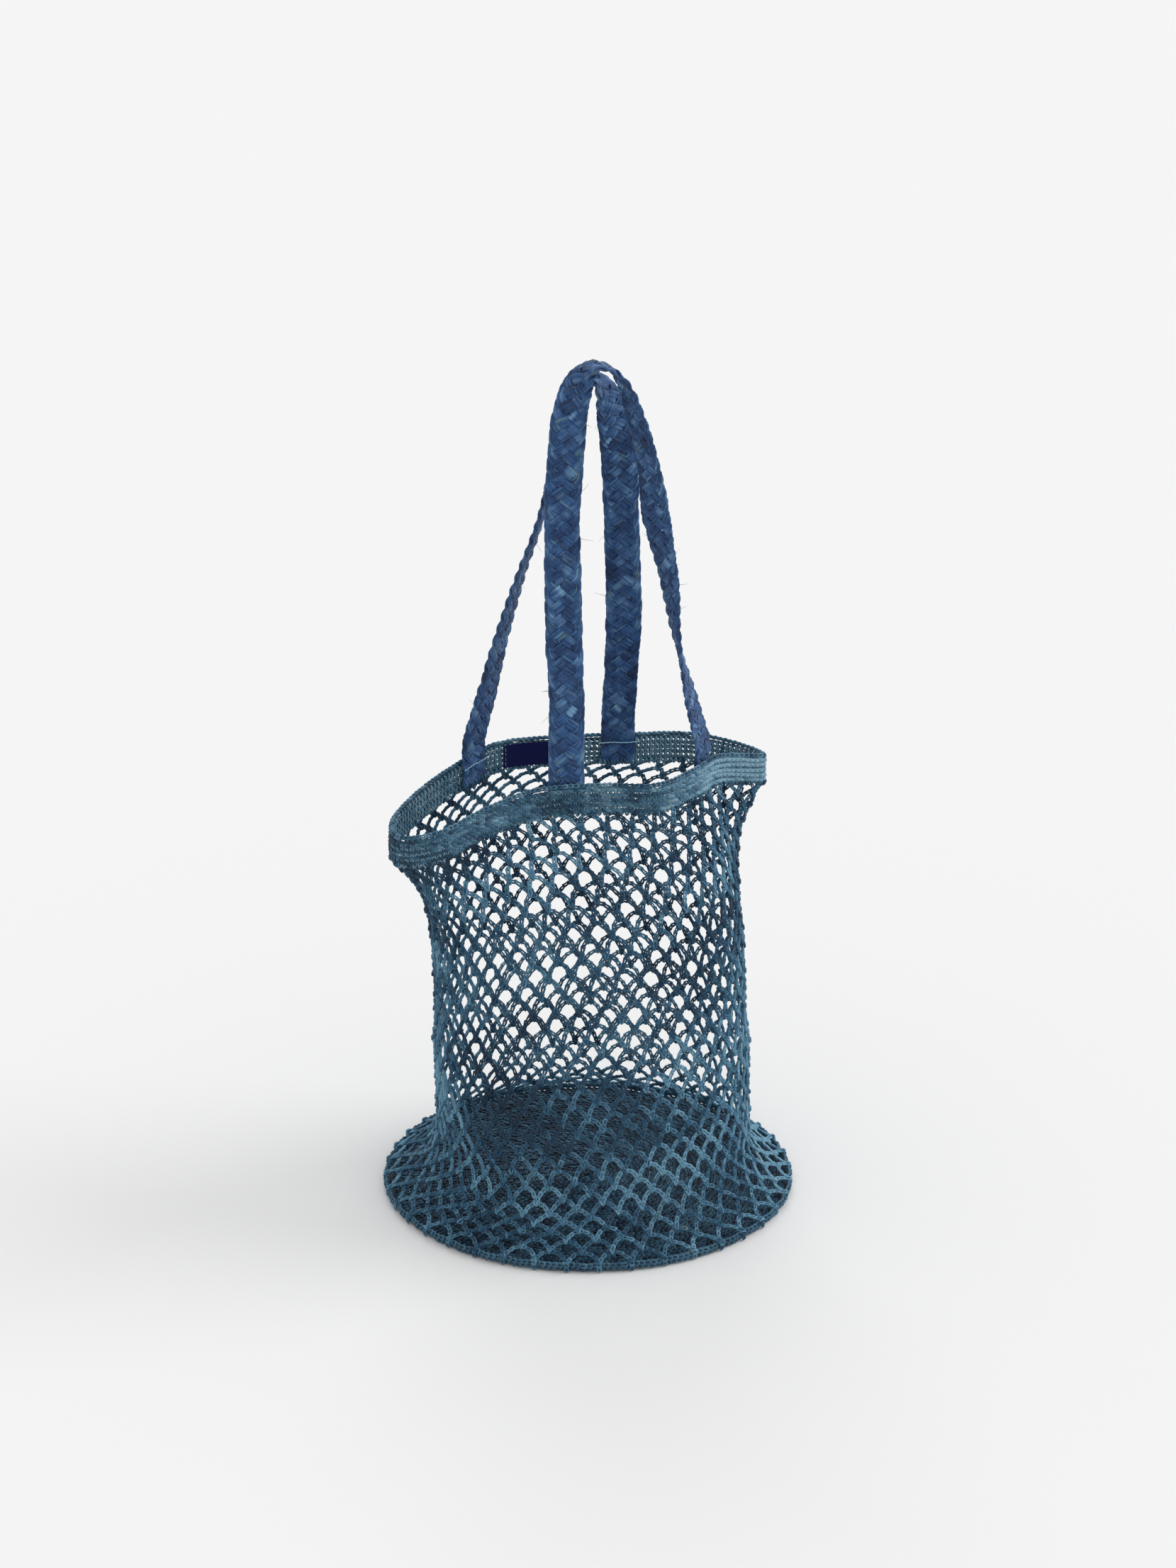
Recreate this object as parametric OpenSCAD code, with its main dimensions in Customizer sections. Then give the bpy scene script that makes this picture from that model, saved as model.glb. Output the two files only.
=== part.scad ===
// Crocheted net tote: a dense round base, an open net wall that flares onto it,
// a dense band round the mouth, two flat braided handles and a sewn-in label.
// +Z is up, X runs along the mouth, and the origin is under the middle of the base.

/* [Base] */
// Diameter of the crocheted base over its outer rounds
base_d = 300; // [250:1:360]
// Thickness of the dense base fabric
base_t = 4; // [3:0.5:6]
// Width of the turned-up outer rounds
edge_w = 5; // [4:0.5:8]
// Height of the turned-up outer rounds
edge_h = 6; // [5:0.5:12]

/* [Net wall] */
// Thickness of the net's chain cords
net_t = 4; // [2:0.5:5]
// Diameter of the wall just above its flare
waist_d = 228; // [190:1:240]
// Diameter that the wall tapers to at its top
head_d = 216; // [180:1:240]
// Height of the flare between the base and the straight wall
flare_h = 40; // [30:1:60]
// Sideways shift of the wall just above its flare
foot_shift = 6; // [-10:1:10]
// Sideways shift of the wall towards its top
head_shift = -4; // [-10:1:10]

/* [Mouth] */
// Height of the mouth's lowest point above the surface
rim_h = 296; // [240:1:360]
// Rise of the mouth's highest point above its lowest
rim_rise = 24; // [0:1:40]
// Length of the mouth from tip to tip
mouth_l = 290; // [240:1:350]
// Width of the mouth from front to back
mouth_w = 125; // [100:1:150]
// Offset of the mouth towards the back
mouth_y = 20; // [0:1:40]
// Height of the dense band, with its edge round
band_h = 22; // [16:1:30]
// Thickness of the dense band
band_t = 4; // [3:0.5:6]
// Height of the chain round that finishes the band's top edge
rim_edge_h = 3; // [2:0.5:5]

/* [Handles] */
// Width of the braided strap
strap_w = 25; // [18:1:32]
// Thickness of the braided strap
strap_t = 4; // [3:0.5:6]
// Height of the front handle's top above its fold line
handle_h = 276; // [200:1:360]
// Height of each handle's fold line above the band
fold_rise = 12; // [12:1:16]
// Length of the bound end at the foot of each strap
binding_h = 5; // [3:0.5:8]
// Depth of the thread line below the band's top edge
stitch_drop = 5; // [4:0.5:8]
// Thickness of the sewing thread
thread_d = 1; // [0.6:0.1:1.6]

/* [Label] */
// Length of the woven label
label_l = 36; // [24:1:60]
// Height of the woven label
label_h = 17; // [10:1:18]
// Thickness of the woven label
label_t = 1; // [0.6:0.1:1.6]
// Depth of the label's top edge below the band's top edge
label_drop = 4; // [3:0.5:5]

/* [Hidden] */

net_colour = "#46738c";
strap_colour = "#325587";
label_colour = "#14196e";
thread_colour = "#9fb6c4";

body_gap = 0.3;        // between the wall and the band, which move apart
sewn_gap = 0.2;        // between pieces sewn face to face
label_gap = 0.5;       // between the label and the band, which bow differently round the mouth
flare_power = 2.2;     // how fast the flare draws in above the base
mouth_start = 0.45;    // share of the wall's height where the round wall starts to follow the mouth
mouth_power = 4.4;     // how late the wall follows the mouth
base_turn = -3;        // turn of the base's round against the mouth's points, in degrees
around = 68;           // stations round the mouth
skirt_rows = 6;
wall_rows = 12;
skirt_top = 0.15;      // share of the wall's height that is the skirt

// The mouth seen from above, from its right tip round the back and left tip to the front.
// Each point is x and y as shares of half the mouth's length and width, and z as a share of the rise.
MOUTH = [[0.98, -0.22, 0.54], [0.90, 0.26, 0.63], [0.70, 0.59, 0.79], [0.38, 0.67, 0.96],
         [0.07, 0.86, 1.00], [-0.23, 1.02, 0.92], [-0.51, 0.74, 0.71], [-0.77, 0.40, 0.38],
         [-0.97, -0.02, 0.08], [-1.01, -0.48, 0.00], [-0.84, -0.75, 0.25], [-0.59, -0.64, 0.63],
         [-0.30, -0.55, 0.87], [0.00, -0.73, 0.90], [0.26, -0.90, 0.82], [0.51, -0.66, 0.89],
         [0.72, -0.29, 0.79]];

// Places of the straps and the label, as shares of the way round the mouth
FRONT_LEFT = 0.732;
FRONT_RIGHT = 0.912;
BACK_RIGHT = 0.182;
BACK_LEFT = 0.332;
LABEL_AT = 0.267;

// Each handle's route: x as a share of the distance between its two folds, y in millimetres,
// z as a share of the handle's height, all from the middle of the fold line, and last the
// direction of the strap's width, in degrees from X seen from above.
FRONT_ROUTE = [[-0.48, 0, 0.16, -12], [-0.47, 7, 0.34, -24], [-0.45, 14, 0.51, -24],
               [-0.42, 20, 0.68, -24], [-0.35, 25, 0.88, -36], [-0.27, 25, 0.97, -70],
               [-0.16, 22, 1.00, -100], [-0.05, 17, 0.97, -92], [0.04, 13, 0.88, -84],
               [0.13, 11, 0.74, -74], [0.19, 11, 0.60, -64], [0.27, 10, 0.45, -82],
               [0.33, 10, 0.29, -103], [0.42, 8, 0.13, -130]];
BACK_ROUTE = [[-0.41, 5, 0.11, 32], [-0.32, -1, 0.27, 42], [-0.21, -7, 0.43, 50],
              [-0.09, -13, 0.58, 56], [-0.03, -17, 0.71, 62], [0.03, -21, 0.84, 66],
              [0.09, -23, 0.92, 66], [0.18, -27, 0.95, 62], [0.27, -31, 0.93, 42],
              [0.34, -32, 0.86, 6], [0.40, -30, 0.73, -22], [0.45, -23, 0.49, -24],
              [0.48, -19, 0.32, -20], [0.49, -13, 0.16, -12]];
rings_per_leg = 3;     // strap rings between two points of a route
fold_round = [72, 45, 20, 0];  // angles of the rings that round a strap's folded end

function mix(a, b, k) = a + (b - a) * k;
function flat(v) = [v.x, v.y, 0];
function unit(v) = v / norm(v);
function spline(a, b, c, d, t) =
    (2 * b + (c - a) * t + (2 * a - 5 * b + 4 * c - d) * t * t + (3 * b - a - 3 * c + d) * t * t * t) / 2;

// The mouth's top edge and its outward direction, at a share s of the way round
function mouth_point(i) =
    let (p = MOUTH[(i + len(MOUTH)) % len(MOUTH)])
    [p.x * mouth_l / 2, mouth_y + p.y * mouth_w / 2, rim_h + p.z * rim_rise];
function rim(s) =
    let (f = (s - floor(s)) * len(MOUTH), i = floor(f))
    spline(mouth_point(i - 1), mouth_point(i), mouth_point(i + 1), mouth_point(i + 2), f - i);
function rim_run(s) = (rim(s + 0.001) - rim(s - 0.001)) / 0.002;
function outward(run) = unit([run.y, -run.x, 0]);
function rim_out(s) = outward(rim_run(s));

// The middle of the wall's cords, at a share s round and a share k of the way up
wall_bottom = edge_h;
wall_foot_r = (base_d - edge_w) / 2;
function wall_top(s) = rim(s) - [0, 0, band_h + body_gap];
function wall(s, k) =
    let (top = wall_top(s),
         z = mix(wall_bottom, top.z, k),
         flare = pow(max(0, 1 - (z - wall_bottom) / flare_h), flare_power),
         r = mix(mix(waist_d, head_d, k) / 2, wall_foot_r, flare),
         a = 360 * s + base_turn,
         shift = mix(foot_shift, head_shift, k) * min(1, k / skirt_top),
         follow = pow(max(0, (k - mouth_start) / (1 - mouth_start)), mouth_power))
    [mix(r * cos(a) + shift, top.x, follow), mix(r * sin(a), top.y, follow), z];
function wall_out(s, k) = outward(wall(s + 0.002, k) - wall(s - 0.002, k));

// A closed ring through a list of cross-sections of equal size
module ring(sections) {
    n = len(sections);
    m = len(sections[0]);
    faces = [for (i = [0:n - 1]) for (j = [0:m - 1])
        let (i2 = (i + 1) % n, j2 = (j + 1) % m)
        each [[i * m + j, i * m + j2, i2 * m + j], [i2 * m + j, i * m + j2, i2 * m + j2]]];
    polyhedron([for (s = sections) each s], faces);
}

// An open strip through a list of cross-sections, with flat ends
module strip(sections) {
    n = len(sections);
    m = len(sections[0]);
    sides = [for (i = [0:n - 2]) for (j = [0:m - 1])
        let (j2 = (j + 1) % m)
        each [[i * m + j, i * m + j2, (i + 1) * m + j],
              [(i + 1) * m + j, i * m + j2, (i + 1) * m + j2]]];
    first = [for (j = [1:m - 2]) [0, j + 1, j]];
    last = [for (j = [1:m - 2]) [(n - 1) * m, (n - 1) * m + j, (n - 1) * m + j + 1]];
    polyhedron([for (s = sections) each s], concat(sides, first, last));
}

// A cross-section of the rim: points [outward offset, height] set at a share s round the mouth
function rim_section(s, outline) =
    let (p = rim(s), n = rim_out(s)) [for (q = outline) p + n * q[0] + [0, 0, q[1]]];
module rim_ring(outline) {
    ring([for (i = [0:around - 1]) rim_section(i / around, outline)]);
}

// A plate that follows the mouth: w long about the share at, between two offsets and two heights
module rim_plate(at, w, offset_in, offset_out, z_low, z_high, n = 6) {
    half = w / 2 / norm(flat(rim_run(at)));
    strip([for (i = [0:n]) rim_section(at + half * (2 * i / n - 1),
        [[offset_out, z_low], [offset_out, z_high], [offset_in, z_high], [offset_in, z_low]])]);
}

// Rows of the net between two shares of its height
module net(k_low, k_high, rows) {
    ring([for (i = [0:around - 1])
        let (s = i / around)
        concat([for (j = [0:rows])
                    let (k = mix(k_low, k_high, j / rows)) wall(s, k) + wall_out(s, k) * net_t / 2],
               [for (j = [rows:-1:0])
                    let (k = mix(k_low, k_high, j / rows)) wall(s, k) - wall_out(s, k) * net_t / 2])]);
}

// Offsets of the sewn strap ends from the middle of the band
strap_out = -(band_t / 2 + sewn_gap);
strap_in = strap_out - strap_t;
strap_mid = (strap_out + strap_in) / 2;
tab_foot = -band_h - 1;    // the sewn end reaches just below the band
tab_top = 1.5;             // and just above it
fold_clear = 0.8;          // between the sewn end's neck and the handle

// A handle's fold: the point where its strap turns, above the sewn end
function fold(at) = rim(at) + rim_out(at) * strap_mid + [0, 0, fold_rise];
function fold_angle(left, right) = let (d = fold(right) - fold(left)) atan2(d.y, d.x);
front_angle = fold_angle(FRONT_LEFT, FRONT_RIGHT);
back_angle = fold_angle(BACK_LEFT, BACK_RIGHT);

// A strap's cross-section about p, with its width along w and its thickness t along the normal
function strap_section(p, w, normal, t) =
    let (a = strap_w / 2, b = t / 2, c = min(1, b / 2))
    [for (q = [[-a, -b + c], [-a, b - c], [-a + c, b], [a - c, b],
               [a, b - c], [a, -b + c], [a - c, -b], [-a + c, -b]])
        p + w * q[0] + normal * q[1]];

// One section of a handle at its place f along the route's points
function route_section(points, turns, f) =
    let (n = len(points), i = min(floor(f), n - 2), t = f - i,
         a = points[max(i - 1, 0)], b = points[i], c = points[i + 1], d = points[min(i + 2, n - 1)],
         p = spline(a, b, c, d, t),
         run = unit(spline(a, b, c, d, min(t + 0.05, 1)) - spline(a, b, c, d, max(t - 0.05, 0))),
         turn = mix(turns[i], turns[i + 1], t),
         level = [cos(turn), sin(turn), 0],
         w = unit(level - run * (level * run)))
    strap_section(p, w, cross(run, w), strap_t);

// The rounded end of a strap about its fold line, for a strap that runs along run there
function folded_end(p, turn, run, angles) =
    let (w = [cos(turn), sin(turn), 0], normal = cross(run, w))
    [for (a = angles) strap_section(p - [0, 0, strap_t / 2 * sin(a)], w, normal, strap_t * cos(a))];
function backwards(list) = [for (i = [len(list) - 1:-1:0]) list[i]];

module handle(left, right, route, first_turn, last_turn) {
    foot = fold(left);
    head = fold(right);
    mid = (foot + head) / 2;
    spread = norm(head - foot);
    points = concat([foot], [for (p = route) mid + [p[0] * spread, p[1], p[2] * handle_h]], [head]);
    turns = concat([first_turn], [for (p = route) p[3]], [last_turn]);
    rings = (len(points) - 1) * rings_per_leg;
    strip(concat(folded_end(foot, first_turn, [0, 0, 1], fold_round),
                 [for (i = [1:rings - 1]) route_section(points, turns, i / rings_per_leg)],
                 folded_end(head, last_turn, [0, 0, -1], backwards(fold_round))));
}

// The sewn end of a strap, inside the band, with a narrow neck up to the fold line
neck_w = 0.6 * strap_w;
neck_t = 0.75 * strap_t;
neck_sink = 1;             // how far the neck reaches down into the sewn end
module strap_end(at, angle) {
    neck_top = fold_rise - strap_t / 2 - fold_clear;
    neck_foot = tab_top - neck_sink;
    color(strap_colour) {
        rim_plate(at, strap_w, strap_in, strap_out, tab_foot + binding_h, tab_top);
        translate(rim(at) + rim_out(at) * strap_mid + [0, 0, (neck_top + neck_foot) / 2])
            rotate([0, 0, angle])
                cube([neck_w, neck_t, neck_top - neck_foot], center = true);
    }
}

// The thread line that holds a strap's end, a little longer than the strap is wide
stitch_over = 2;
module end_stitch(at) {
    face = strap_in - sewn_gap;
    color(thread_colour)
        rim_plate(at, strap_w + 2 * stitch_over, face - thread_d, face,
                  -stitch_drop - thread_d, -stitch_drop);
}

// The whip-stitched foot of a strap
binding_over = 1;
module end_binding(at) {
    color(net_colour)
        rim_plate(at, strap_w + 2 * binding_over, strap_in, strap_out,
                  tab_foot, tab_foot + binding_h - sewn_gap);
}

module base_disc() {
    color(net_colour) cylinder(d = base_d - 2 * edge_w, h = base_t, $fn = 96);
}

module base_edge_round() {
    color(net_colour)
        rotate_extrude($fn = 96)
            translate([base_d / 2 - edge_w, 0])
                square([edge_w, edge_h]);
}

module net_skirt() {
    color(net_colour) net(0, skirt_top, skirt_rows);
}

module net_wall() {
    color(net_colour) net(skirt_top, 1, wall_rows);
}

module rim_band() {
    b = band_t / 2;
    band_top = rim_edge_h + sewn_gap;
    color(net_colour)
        rim_ring([[b, -band_h], [b, -band_top], [-b, -band_top], [-b, -band_h]]);
}

module rim_edge_round() {
    b = band_t / 2;
    c = min(b, rim_edge_h) / 2;
    color(net_colour)
        rim_ring([[b, -rim_edge_h], [b, -c], [b - c, 0], [c - b, 0], [-b, -c], [-b, -rim_edge_h]]);
}

module label() {
    face = -(band_t / 2 + label_gap);
    color(label_colour)
        rim_plate(LABEL_AT, label_l, face - label_t, face, -label_drop - label_h, -label_drop);
}

module label_stitches() {
    inset = 2;
    face = -(band_t / 2 + label_gap + label_t + sewn_gap);
    for (side = [-1, 1])
        color(thread_colour)
            rim_plate(LABEL_AT + side * (label_l / 2 - inset) / norm(flat(rim_run(LABEL_AT))),
                      thread_d, face - thread_d, face,
                      -label_drop - label_h + inset, -label_drop - inset, n = 1);
}

module front_handle() {
    color(strap_colour)
        handle(FRONT_LEFT, FRONT_RIGHT, FRONT_ROUTE, front_angle, front_angle - 180);
}

module back_handle() {
    color(strap_colour)
        handle(BACK_LEFT, BACK_RIGHT, BACK_ROUTE, back_angle, back_angle);
}

base_disc();
base_edge_round();
net_skirt();
net_wall();
rim_band();
rim_edge_round();
front_handle();
back_handle();
strap_end(FRONT_LEFT, front_angle);  // front_left_strap_end
strap_end(FRONT_RIGHT, front_angle);  // front_right_strap_end
strap_end(BACK_LEFT, back_angle);  // back_left_strap_end
strap_end(BACK_RIGHT, back_angle);  // back_right_strap_end
end_stitch(FRONT_LEFT);  // front_left_stitch
end_stitch(FRONT_RIGHT);  // front_right_stitch
end_stitch(BACK_LEFT);  // back_left_stitch
end_stitch(BACK_RIGHT);  // back_right_stitch
end_binding(FRONT_LEFT);  // front_left_binding
end_binding(FRONT_RIGHT);  // front_right_binding
end_binding(BACK_LEFT);  // back_left_binding
end_binding(BACK_RIGHT);  // back_right_binding
label();
label_stitches();
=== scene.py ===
import math

import bpy
import numpy as np
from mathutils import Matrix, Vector


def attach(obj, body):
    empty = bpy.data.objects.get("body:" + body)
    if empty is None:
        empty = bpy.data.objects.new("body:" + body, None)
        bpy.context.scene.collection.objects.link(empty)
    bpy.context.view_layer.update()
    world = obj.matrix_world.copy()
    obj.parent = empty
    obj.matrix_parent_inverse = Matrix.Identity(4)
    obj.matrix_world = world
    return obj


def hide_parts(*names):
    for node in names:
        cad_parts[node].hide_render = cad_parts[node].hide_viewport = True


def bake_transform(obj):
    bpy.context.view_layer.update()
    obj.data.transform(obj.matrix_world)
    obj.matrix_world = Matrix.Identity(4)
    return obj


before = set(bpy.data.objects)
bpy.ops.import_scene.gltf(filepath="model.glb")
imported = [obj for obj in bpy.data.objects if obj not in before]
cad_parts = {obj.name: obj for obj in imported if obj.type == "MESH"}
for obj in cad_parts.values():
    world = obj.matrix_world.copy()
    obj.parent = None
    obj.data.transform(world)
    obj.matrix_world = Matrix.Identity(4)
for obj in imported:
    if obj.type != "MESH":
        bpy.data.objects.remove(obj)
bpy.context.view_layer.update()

MM = 0.001

# Sizes of the bag, as in the frame
BASE_R = 150 * MM
EDGE_W = 5 * MM
EDGE_H = 6 * MM
WAIST_R = 114 * MM       # the net's radius just above its flared skirt
HEAD_R = 108 * MM        # and just under the band
FLARE_H = 40 * MM        # height of the skirt's flare
FLARE_POWER = 2.2
FOOT_SHIFT = 6 * MM      # sideways lean of the net low down
HEAD_SHIFT = -4 * MM     # and high up
SKIRT_TOP = 0.15         # share of the way up at which the lean is full
MOUTH_START = 0.45       # share of the way up at which the net starts to follow the mouth
MOUTH_POWER = 4.4
BASE_TURN = -3           # degrees
RIM_H = 296 * MM
RIM_RISE = 24 * MM
MOUTH_L = 290 * MM
MOUTH_W = 125 * MM
MOUTH_Y = 20 * MM
BAND_H = 22 * MM
BODY_GAP = 0.3 * MM      # between the band and the net
STRAP_W = 25 * MM
HANDLE_H = 276 * MM
FOLD_RISE = 12 * MM      # a strap's fold above the band's top edge
STRAP_MID = -4.2 * MM    # a strap's middle outwards from the band's middle

# The mouth from its right tip round the back and left tip to the front: shares of its half
# length and half width, and of its rise
MOUTH = [[0.98, -0.22, 0.54], [0.90, 0.26, 0.63], [0.70, 0.59, 0.79], [0.38, 0.67, 0.96],
         [0.07, 0.86, 1.00], [-0.23, 1.02, 0.92], [-0.51, 0.74, 0.71], [-0.77, 0.40, 0.38],
         [-0.97, -0.02, 0.08], [-1.01, -0.48, 0.00], [-0.84, -0.75, 0.25], [-0.59, -0.64, 0.63],
         [-0.30, -0.55, 0.87], [0.00, -0.73, 0.90], [0.26, -0.90, 0.82], [0.51, -0.66, 0.89],
         [0.72, -0.29, 0.79]]
MOUTH_POINTS = np.array(MOUTH) * [MOUTH_L / 2, MOUTH_W / 2, RIM_RISE] + [0, MOUTH_Y, RIM_H]

# Places of the straps and the label, as shares of the way round the mouth
FRONT_LEFT, FRONT_RIGHT = 0.732, 0.912
BACK_LEFT, BACK_RIGHT = 0.332, 0.182
LABEL_AT = 0.267

# Each handle's route from its left fold to its right: x as a share of the folds' spread, y in
# millimetres, z as a share of the handle's height, and the direction of the strap's width
FRONT_ROUTE = [[-0.48, 0, 0.16, -12], [-0.47, 7, 0.34, -24], [-0.45, 14, 0.51, -24],
               [-0.42, 20, 0.68, -24], [-0.35, 25, 0.88, -36], [-0.27, 25, 0.97, -70],
               [-0.16, 22, 1.00, -100], [-0.05, 17, 0.97, -92], [0.04, 13, 0.88, -84],
               [0.13, 11, 0.74, -74], [0.19, 11, 0.60, -64], [0.27, 10, 0.45, -82],
               [0.33, 10, 0.29, -103], [0.42, 8, 0.13, -130]]
BACK_ROUTE = [[-0.41, 5, 0.11, 32], [-0.32, -1, 0.27, 42], [-0.21, -7, 0.43, 50],
              [-0.09, -13, 0.58, 56], [-0.03, -17, 0.71, 62], [0.03, -21, 0.84, 66],
              [0.09, -23, 0.92, 66], [0.18, -27, 0.95, 62], [0.27, -31, 0.93, 42],
              [0.34, -32, 0.86, 6], [0.40, -30, 0.73, -22], [0.45, -23, 0.49, -24],
              [0.48, -19, 0.32, -20], [0.49, -13, 0.16, -12]]

# The net: rounds of chain arches, each hooked over the tops of the arches below
ARCHES = 40            # arches in a round
ROUNDS = 29            # rounds from the base to the band
LEAN = 0.41            # place of an arch's top along it
ARCH_POWER = 2.4       # roundness of an arch's top
CHAIN = 7              # chain stitches in an arch
NET_START = 0.75       # share of the way round at which each round is counted from
NET_SPLITS = [0, 5, 10, 15, 20, 25, ROUNDS]
SLUMP_AT = 0.60        # share of the way round where the skirt has slumped onto the base
SLUMP_WIDTH = 0.11     # how far round that reaches
SLUMP = 2.3            # and by how many rounds it is
SLUMP_TOP = 6          # round with the most slump
SLUMP_FADE = 20        # rounds above it over which the slump fades
HOOK_LIFT = 0.7 * MM   # how far an arch's ends stand out, over the top that they hook
PITCH = 3.9 * MM       # length of a chain stitch

rng = np.random.default_rng(11)
UP = np.array([0.0, 0.0, 1.0])


# Shapes of the bag

def spline(points, f, closed=False):
    """A smooth line through points, at places f counted in points."""
    n = len(points)
    i = np.floor(f).astype(int)
    if not closed:
        i = np.clip(i, 0, n - 2)
    t = (f - i)[..., None]
    near = [(i + k) % n if closed else np.clip(i + k, 0, n - 1) for k in (-1, 0, 1, 2)]
    a, b, c, d = (points[j] for j in near)
    return (2 * b + (c - a) * t + (2 * a - 5 * b + 4 * c - d) * t**2 + (3 * b - a - 3 * c + d) * t**3) / 2


def unit(v):
    """Vectors made one long."""
    return v / np.maximum(np.linalg.norm(v, axis=-1, keepdims=True), 1e-12)


def mix(a, b, k):
    """From a at k nought to b at k one."""
    return a + (b - a) * k


def lengths(points):
    """Length along a line of points, up to each of them."""
    return np.concatenate([[0], np.cumsum(np.linalg.norm(np.diff(points, axis=0), axis=1))])


def level_way(turn):
    """Level directions, at angles from X."""
    return np.stack([np.cos(turn), np.sin(turn), 0 * turn], -1)


def ease(x):
    """From 0 to 1 as x does, starting and ending slowly."""
    x = np.clip(x, 0, 1)
    return x * x * (3 - 2 * x)


def rim(s):
    """The middle of the band's top edge at a share s of the way round the mouth."""
    return spline(MOUTH_POINTS, (s % 1) * len(MOUTH_POINTS), closed=True)


def rim_run(s):
    """The mouth's direction there."""
    return unit(rim(s + 0.001) - rim(s - 0.001))


def rim_out(s):
    """The mouth's level outward direction there."""
    run = rim(s + 0.001) - rim(s - 0.001)
    return unit(np.stack([run[..., 1], -run[..., 0], 0 * run[..., 0]], -1))


def wall(s, k):
    """The middle of the net at a share s of the way round and k of the way up."""
    top = rim(s) - (BAND_H + BODY_GAP) * UP
    z = mix(EDGE_H, top[..., 2], k)
    flare = np.clip(1 - (z - EDGE_H) / FLARE_H, 0, None) ** FLARE_POWER
    r = mix(mix(WAIST_R, HEAD_R, k), BASE_R - EDGE_W / 2, flare)
    a = 2 * np.pi * s + math.radians(BASE_TURN)
    shift = mix(FOOT_SHIFT, HEAD_SHIFT, k) * np.clip(k / SKIRT_TOP, 0, 1)
    follow = np.clip((k - MOUTH_START) / (1 - MOUTH_START), 0, None) ** MOUTH_POWER
    return np.stack([mix(r * np.cos(a) + shift, top[..., 0], follow),
                     mix(r * np.sin(a), top[..., 1], follow), z], -1)


def wall_out(s, k):
    """The net's outward direction, square to its surface."""
    round_way = wall(s + 0.002, k) - wall(s - 0.002, k)
    up_way = wall(s, np.minimum(k + 0.004, 1)) - wall(s, np.maximum(k - 0.004, 0))
    return unit(np.cross(round_way, up_way))


def level_table():
    """Shares of the wall's height at equal lengths along its surface, one for each round."""
    k = np.linspace(0, 1, 400)
    length = sum(lengths(wall(0 * k + s, k)) for s in np.linspace(0, 1, 16, endpoint=False))
    return np.interp(np.linspace(0, length[-1], ROUNDS + 1), length, k)


LEVELS = level_table()


# Laying stitches

TONE_SPREAD = 0.08     # how much the dye's depth differs from stitch to stitch
GRAIN_SLIDE = 7        # how far the fibre grain slides from stitch to stitch


def select(obj, chosen):
    """Selects obj's vertices that pass a test, and stays in edit mode."""
    bpy.context.view_layer.objects.active = obj
    bpy.ops.object.mode_set(mode="EDIT")
    bpy.ops.mesh.select_mode(type="VERT")
    bpy.ops.mesh.select_all(action="DESELECT")
    bpy.ops.object.mode_set(mode="OBJECT")
    for v in obj.data.vertices:
        v.select = bool(chosen(v.co))
    bpy.ops.object.mode_set(mode="EDIT")


def loop_stitch(name, length, half_width, strand, narrow=1.0, tilt=0.0, slant=0.0, segments=10,
                sides=4):
    """A loop of yarn along X: its vertices, faces and grain. Narrow pinches the end it comes from,
    tilt raises one end over the other, and slant turns it flat."""
    bpy.ops.object.select_all(action="DESELECT")
    bpy.ops.mesh.primitive_torus_add(major_segments=segments, minor_segments=sides,
                                     major_radius=half_width, minor_radius=strand)
    loop = bpy.context.object
    loop.name = name
    mesh = loop.data
    reach = length / 2 - half_width - strand
    for side in (-1, 1):
        select(loop, lambda p: p.x * side > 1e-6)
        bpy.ops.transform.translate(value=(side * reach, 0, 0))
        bpy.ops.object.mode_set(mode="OBJECT")
    select(loop, lambda p: p.x < -1e-6)
    bpy.ops.transform.resize(value=(1, narrow, 1))
    bpy.ops.mesh.select_all(action="SELECT")
    bpy.ops.transform.rotate(value=tilt, orient_axis="Y", center_override=(0, 0, 0))
    bpy.ops.transform.rotate(value=slant, orient_axis="Z", center_override=(0, 0, 0))
    bpy.ops.object.mode_set(mode="OBJECT")
    verts = np.array([v.co for v in mesh.vertices])
    faces = np.array([p.vertices[:] for p in mesh.polygons])
    grain = np.array([[mesh.uv_layers[0].data[i].uv for i in p.loop_indices] for p in mesh.polygons])
    bpy.data.objects.remove(loop)
    return verts, faces, grain * [length / (10 * MM), 1]


def along(track, p):
    """Values of a track's stations at places p, counted in stations, carried on past its ends."""
    i = np.clip(np.floor(p).astype(int), 0, track.shape[1] - 2)
    t = (p - i)[..., None]
    rows = np.arange(len(track)).reshape((-1,) + (1,) * (p.ndim - 1))
    return track[rows, i] * (1 - t) + track[rows, i + 1] * t


def lay(stitch, centre, across, out, count, pitch=PITCH, wobble=0.1 * MM, tones=0.5):
    """Bends count copies of a stitch along each track of stations: (tracks, stations, 3) arrays.
    Wobble is how far a copy strays. Tones are how deep the colour is, one for each track or each copy;
    on the band they also hold painted light."""
    verts, faces, grain = stitch
    stations = centre.shape[1] - 1
    place = (np.arange(count)[:, None] + 0.5 + verts[None, :, 0] / pitch) * stations / count
    p = np.broadcast_to(place[None], (len(centre),) + place.shape)
    sway = rng.normal(0, wobble, (len(centre), count, 1, 2))
    spread = verts[None, None, :, 1, None] + sway[..., :1]
    lift = verts[None, None, :, 2, None] + sway[..., 1:]
    co = along(centre, p) + along(across, p) * spread + along(out, p) * lift
    copies = len(centre) * count
    step = (np.arange(copies) * len(verts))[:, None, None]
    tones = np.broadcast_to(np.asarray(tones, float).reshape(len(np.atleast_1d(tones)), -1),
                            (len(centre), count))
    shade = np.clip(tones + rng.normal(0, TONE_SPREAD, (len(centre), count)), 0, 1)
    slide = rng.random((copies, 1, 1, 2)) * GRAIN_SLIDE
    return (co.reshape(-1, 3), (faces[None] + step).reshape(-1, 4),
            (grain[None] + slide).reshape(-1, 2), np.repeat(shade.ravel(), len(verts)))


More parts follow.
